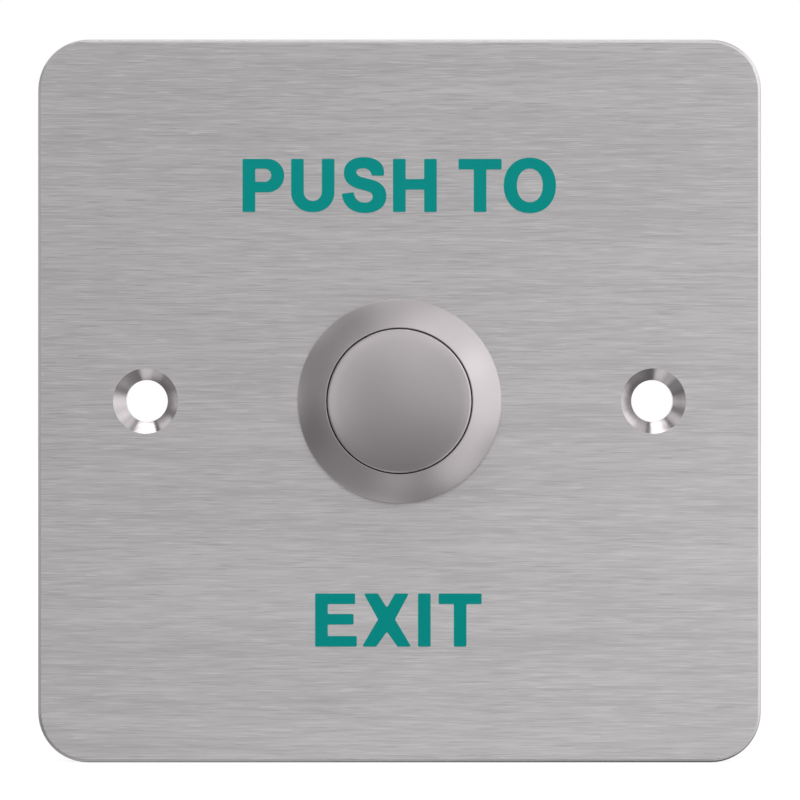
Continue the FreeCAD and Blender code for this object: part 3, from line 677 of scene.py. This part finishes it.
def soften(points):
    """Round the corners of an outline that are sharper than its curves."""
    outline = []
    count = len(points)
    for i, here in enumerate(points):
        p = Vector(here)
        a = Vector(points[i - 1]) - p
        b = Vector(points[(i + 1) % count]) - p
        turn = math.pi - a.angle(b)
        if turn < CORNER_LEAST_TURN:
            outline.append(here)
            continue
        cut = min(CORNER * math.tan(turn / 2), a.length * CORNER_MOST_CUT, b.length * CORNER_MOST_CUT)
        start = p + a.normalized() * cut
        stop = p + b.normalized() * cut
        for k in range(CORNER_STEPS + 1):
            t = k / CORNER_STEPS
            outline.append(tuple((1 - t) ** 2 * start + 2 * t * (1 - t) * p + t ** 2 * stop))
    return outline


def letter_p():
    width, bowl_base = 4.95, 2.33
    bowl = (CAP_HEIGHT - bowl_base) / 2
    eye_base, eye_top, eye_right = 3.57, 5.14, 3.40
    eye = (eye_top - eye_base) / 2
    outer = [(0, 0), (STEM, 0), (STEM, bowl_base)]
    outer += arc((width - bowl, bowl_base + bowl), (bowl, bowl), -90, 90)
    outer += [(0, CAP_HEIGHT)]
    inner = [(STEM, eye_base)]
    inner += arc((eye_right - eye, eye_base + eye), (eye, eye), -90, 90)
    inner += [(STEM, eye_top)]
    return [outer, inner]


def letter_u():
    width, floor, radius = 5.15, 1.3, 2.35
    inner = width - STEM
    inside = (inner - STEM) / 2
    outline = arc((radius, radius), (radius, radius), 180, 270)
    outline += arc((width - radius, radius), (radius, radius), 270, 360)
    outline += [(width, CAP_HEIGHT), (inner, CAP_HEIGHT)]
    outline += arc((inner - inside, floor + inside), (inside, inside), 0, -180)
    outline += [(STEM, CAP_HEIGHT), (0, CAP_HEIGHT)]
    return [outline]


def letter_s():
    """One outline from the upper end to the lower one and back.

    It goes down inside the upper bowl and outside the lower one, and comes up the other way.
    """
    down = [
        [(3.58, 4.31), (3.47, 4.89), (3.06, 5.19), (2.57, 5.19)],
        [(2.09, 5.19), (1.74, 5.04), (1.74, 4.78)],
        [(1.74, 4.10), (2.68, 4.10), (3.65, 3.82)],
        [(4.74, 3.51), (5.31, 2.84), (5.31, 1.90)],
        [(5.31, 0.67), (4.33, -0.12), (2.74, -0.12)],
        [(1.12, -0.12), (0.11, 0.82), (0.01, 2.17)],
    ]
    up = [
        [(1.42, 2.34), (1.57, 1.49), (2.01, 1.11), (2.76, 1.11)],
        [(3.36, 1.11), (3.68, 1.42), (3.68, 1.87)],
        [(3.68, 2.39), (2.91, 2.50), (2.16, 2.69)],
        [(0.89, 3.06), (0.25, 3.66), (0.25, 4.63)],
        [(0.25, 5.78), (1.19, 6.51), (2.63, 6.51)],
        [(4.10, 6.51), (5.02, 5.78), (5.02, 4.81)],
    ]
    outline = []
    for run in (down, up):
        outline.append(run[0][0])
        for curve in run:
            following = curve[-3:]
            outline += bend(outline[-1], *following)
    outline.append((5.02, 4.31))
    return [outline]


def letter_h():
    width, bar_base = 5.2, 2.65
    return [[
        (0, 0), (STEM, 0), (STEM, bar_base), (width - STEM, bar_base), (width - STEM, 0), (width, 0),
        (width, CAP_HEIGHT), (width - STEM, CAP_HEIGHT), (width - STEM, bar_base + BAR),
        (STEM, bar_base + BAR), (STEM, CAP_HEIGHT), (0, CAP_HEIGHT),
    ]]


def letter_t():
    width = 5.1
    left = (width - STEM) / 2
    under = CAP_HEIGHT - BAR
    return [[
        (left, 0), (left + STEM, 0), (left + STEM, under), (width, under),
        (width, CAP_HEIGHT), (0, CAP_HEIGHT), (0, under), (left, under),
    ]]


def letter_o():
    centre = (3.1, CAP_HEIGHT / 2)
    outer = full_oval(centre, (3.1, CAP_HEIGHT / 2 + 0.14))
    inner = full_oval(centre, (1.54, 2.0))
    return [outer, inner]


def letter_e():
    width, middle = 4.95, 2.62
    return [[
        (0, 0), (width, 0), (width, BAR), (STEM, BAR), (STEM, middle), (width - 0.38, middle),
        (width - 0.38, middle + BAR), (STEM, middle + BAR), (STEM, CAP_HEIGHT - BAR),
        (width - 0.2, CAP_HEIGHT - BAR), (width - 0.2, CAP_HEIGHT), (0, CAP_HEIGHT),
    ]]


def letter_x():
    return [[
        (0, 0), (1.68, 0), (2.94, 1.77), (4.2, 0), (5.82, 0), (3.91, 3.23),
        (5.55, CAP_HEIGHT), (3.9, CAP_HEIGHT), (2.95, 4.6), (1.88, CAP_HEIGHT), (0.2, CAP_HEIGHT),
        (1.9, 3.23),
    ]]


def letter_i():
    return [[(0, 0), (STEM, 0), (STEM, CAP_HEIGHT), (0, CAP_HEIGHT)]]


def make_word(name, base, letters, material):
    """Thin printed letters lying on the plate's front, one filled outline each."""
    curve = bpy.data.curves.new(name, "CURVE")
    curve.dimensions = "2D"
    curve.fill_mode = "BOTH"
    curve.extrude = PRINT_THICKNESS / 2
    for left, outlines in letters:
        for outline in outlines:
            points = soften(outline)
            spline = curve.splines.new("POLY")
            spline.points.add(len(points) - 1)
            for point, (x, z) in zip(spline.points, points):
                point.co = ((left + x) * MM, (base + z) * MM, 0, 1)
            spline.use_cyclic_u = True
    shaped = bpy.data.objects.new(name + "_outline", curve)
    bpy.context.scene.collection.objects.link(shaped)
    shaped.rotation_euler = (math.radians(90), 0, 0)
    shaped.location = (0, PLATE_FRONT - PRINT_THICKNESS / 2, 0)
    bpy.context.view_layer.update()
    evaluated = shaped.evaluated_get(bpy.context.evaluated_depsgraph_get())
    mesh = bpy.data.meshes.new_from_object(evaluated)
    mesh.name = name
    mesh.transform(shaped.matrix_world)
    mesh.materials.clear()
    mesh.materials.append(material)
    bpy.data.objects.remove(shaped)
    word = bpy.data.objects.new(name, mesh)
    bpy.context.scene.collection.objects.link(word)
    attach(word, "housing")


def make_legend():
    ink = screen_print()
    upper = [
        (-18.63, letter_p()), (-12.87, letter_u()), (-6.86, letter_s()), (-0.77, letter_h()),
        (7.02, letter_t()), (12.38, letter_o()),
    ]
    lower = [(-10.02, letter_e()), (-4.44, letter_x()), (2.20, letter_i()), (4.65, letter_t())]
    make_word("legend_upper", UPPER_BASE, upper, ink)
    make_word("legend_lower", LOWER_BASE, lower, ink)


# Studio

FLOOR_SIZE = 3.0
FLOOR_ALBEDO = 0.28
FLOOR_GLOW = 0.815


def make_floor():
    """Pale floor under the plate's lower edge. It stays white to the camera and keeps the shadow."""
    material = bpy.data.materials.new("stage_floor")
    material.use_nodes = True
    nodes = Nodes(material.node_tree)
    diffuse = nodes.add("ShaderNodeBsdfDiffuse")
    diffuse.inputs["Color"].default_value = (FLOOR_ALBEDO,) * 3 + (1,)
    glow = nodes.add("ShaderNodeEmission")
    camera = nodes.add("ShaderNodeLightPath").outputs["Is Camera Ray"]
    nodes.link(nodes.math("MULTIPLY", camera, FLOOR_GLOW), glow.inputs["Strength"])
    both = nodes.add("ShaderNodeAddShader")
    nodes.link(diffuse.outputs[0], both.inputs[0])
    nodes.link(glow.outputs[0], both.inputs[1])
    output = nodes.add("ShaderNodeOutputMaterial")
    nodes.link(both.outputs[0], output.inputs["Surface"])
    half = FLOOR_SIZE / 2
    level = PLATE_LOW.z
    corners = [(-half, -half, level), (half, -half, level), (half, half, level), (-half, half, level)]
    floor = mesh_piece("stage_floor", corners, [(0, 1, 2, 3)], material, smooth=False)
    floor.visible_glossy = False


def toward(off_axis, azimuth):
    """Direction off the line to the camera by one angle, turned from the right by another, in degrees."""
    t, a = math.radians(off_axis), math.radians(azimuth)
    return (math.sin(t) * math.cos(a), -math.cos(t), math.sin(t) * math.sin(a))


AMBIENT = 0.33
WHITE = 1.0
# Soft panels and dark flags of the studio. Each is placed by its angle off the line to the camera and
# its angle round from the right, then come the half-width of its full light, the half-width at which
# it has faded out, all in degrees, and its strength.
PANELS = {
    "front": (0, 0, 2, 16, 0.16),
    "front right": (20, 0, 2, 12, 0.25),
    "front upper right": (14, 50, 2, 18, 0.27),
    "upper": (30, 80, 6, 22, 0.5),
    "upper left": (30, 130, 4, 18, 0.6),
    "left": (27, 180, 3, 16, 0.65),
    "right wall": (53, 4, 10, 32, 0.92),
    "upper right wall": (54, 50, 8, 32, 0.75),
    "upper wall": (52, 92, 6, 20, 0.32),
    "lower right wall": (54, -45, 6, 22, 0.64),
    "lower wall": (47, -92, 4, 14, 0.33),
    "far right": (87, 0, 8, 22, 0.3),
    "rim right": (98, 24, 12, 34, 0.6),
    "rim lower right": (97, -14, 8, 26, 0.5),
    "rim top": (100, 88, 8, 30, 0.35),
    "far upper right": (88, 35, 8, 22, 0.55),
    "far upper": (82, 60, 4, 12, 0.4),
    "far upper left": (82, 137, 7, 18, 0.6),
    "far left": (80, 180, 3, 20, 0.5),
    "far lower left": (80, -120, 4, 14, 0.35),
    "far below": (78, -98, 5, 16, 0.6),
    "flag right of the overhead": (80, 72, 1, 5, -0.35),
    "flag left of the overhead": (80, 121, 1, 5, -0.35),
    "flag left": (60, 196, 4, 20, -0.16),
    "flag below": (26, -88, 4, 14, -0.09),
    "flag beneath": (108, -80, 14, 36, -0.32),
    "back upper left": (138, 140, 8, 40, 0.5),
    "back upper right": (130, 60, 8, 36, 0.45),
}
# Angles off the wall's direction within which metal mirrors the whole backdrop, and none of it.
BACKDROP_FULL = 20
BACKDROP_GONE = 60


def make_world():
    """White to the camera and, behind the object, to its mirroring pieces. A soft studio elsewhere."""
    world = bpy.data.worlds.new("studio")
    world.use_nodes = True
    bpy.context.scene.world = world
    nodes = Nodes(world.node_tree)
    direction = nodes.add("ShaderNodeTexCoord").outputs["Generated"]

    def patch(centre, gone, full, level):
        """A level that fades in with the direction's angle off a centre, both ends in degrees."""
        facing = nodes.vector_math("DOT_PRODUCT", direction, centre)
        ends = (math.cos(math.radians(gone)), math.cos(math.radians(full)))
        return nodes.ramp(facing, *ends, 0.0, level, smooth=True)

    studio = AMBIENT
    for off_axis, azimuth, full, gone, level in PANELS.values():
        studio = nodes.math("ADD", studio, patch(toward(off_axis, azimuth), gone, full, level))
    rays = nodes.add("ShaderNodeLightPath").outputs
    mirrored = nodes.math("MAXIMUM", rays["Is Glossy Ray"], rays["Is Transmission Ray"])
    behind = patch((0, 1, 0), BACKDROP_GONE, BACKDROP_FULL, WHITE)
    backdrop = nodes.math("MAXIMUM", rays["Is Camera Ray"], nodes.math("MULTIPLY", mirrored, behind))
    strength = nodes.add("ShaderNodeMix", data_type="FLOAT")
    nodes.link(backdrop, strength.inputs["Factor"])
    for target, source in zip(MIX_NUMBERS, (studio, WHITE)):
        nodes.feed(strength.inputs[target], source)
    background = nodes.add("ShaderNodeBackground")
    background.inputs["Color"].default_value = (1, 1, 1, 1)
    nodes.link(strength.outputs[0], background.inputs["Strength"])
    output = nodes.add("ShaderNodeOutputWorld")
    nodes.link(background.outputs[0], output.inputs["Surface"])


# Lamps: place, target, width and depth, and power.
OVERHEAD = ((-0.168, -0.20, 1.2), (-0.168, -0.20, 0), (0.89, 0.22), 1.5)
FRONT_FILL = ((0.10, -0.60, 0.35), (0, 0, 0), (0.5, 0.5), 2.2)


def area_light(name, place, target, size, power, in_metal=True):
    """Flat lamp that the camera doesn't see, and that metal mirrors or not."""
    data = bpy.data.lights.new(name, "AREA")
    data.shape = "RECTANGLE"
    data.size, data.size_y = size
    data.energy = power
    lamp = bpy.data.objects.new(name, data)
    lamp.location = place
    lamp.rotation_euler = (Vector(target) - Vector(place)).to_track_quat("-Z", "Y").to_euler()
    lamp.visible_camera = False
    lamp.visible_glossy = in_metal
    bpy.context.scene.collection.objects.link(lamp)


def make_lights():
    area_light("overhead", *OVERHEAD)
    area_light("front_fill", *FRONT_FILL, in_metal=False)


make_camera()
make_world()
make_lights()
make_floor()
satin_steel, cap_steel, spring_steel = dress_nodes()
make_bezel(satin_steel)
make_cap(cap_steel)
make_barrel_thread()
make_return_spring(spring_steel)
make_legend()

bpy.context.scene.view_settings.view_transform = "Standard"
